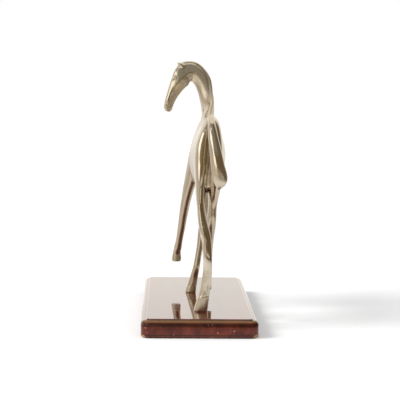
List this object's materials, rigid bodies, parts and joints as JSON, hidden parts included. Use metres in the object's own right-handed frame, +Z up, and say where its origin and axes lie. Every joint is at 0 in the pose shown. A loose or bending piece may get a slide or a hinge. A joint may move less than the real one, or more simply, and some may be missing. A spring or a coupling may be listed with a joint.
{
  "type": "metal horse sculpture",
  "caption": "Slender polished cast metal horse at a trot, head turned to its left, doweled together and bolted to a lacquered wooden plinth with a moulded edge.",
  "frame": {"origin": "centre of the felt underside of the plinth", "axes": "+Z up, +Y along the plinth towards which the horse trots, +X to the horse's right"},
  "size_m": [0.1, 0.262, 0.2364],
  "materials": {
    "polished_metal": "polished pale champagne casting",
    "lacquered_wood": "gloss lacquer over red-brown hardwood",
    "felt": "dark green felt",
    "fixing_steel": "plain turned steel"
  },
  "bodies": {
    "root": {"plinth": "lacquered_wood", "felt_pad": "felt", "torso": "polished_metal", "head_and_neck": "polished_metal", "tail": "polished_metal", "left_foreleg": "polished_metal", "right_foreleg": "polished_metal", "left_hind_leg": "polished_metal", "right_hind_leg": "polished_metal", "leg_dowels": "fixing_steel", "neck_dowel": "fixing_steel", "tail_dowel": "fixing_steel", "hoof_studs": "fixing_steel", "stud_washers": "fixing_steel", "stud_nuts": "fixing_steel"}
  },
  "joints": []
}
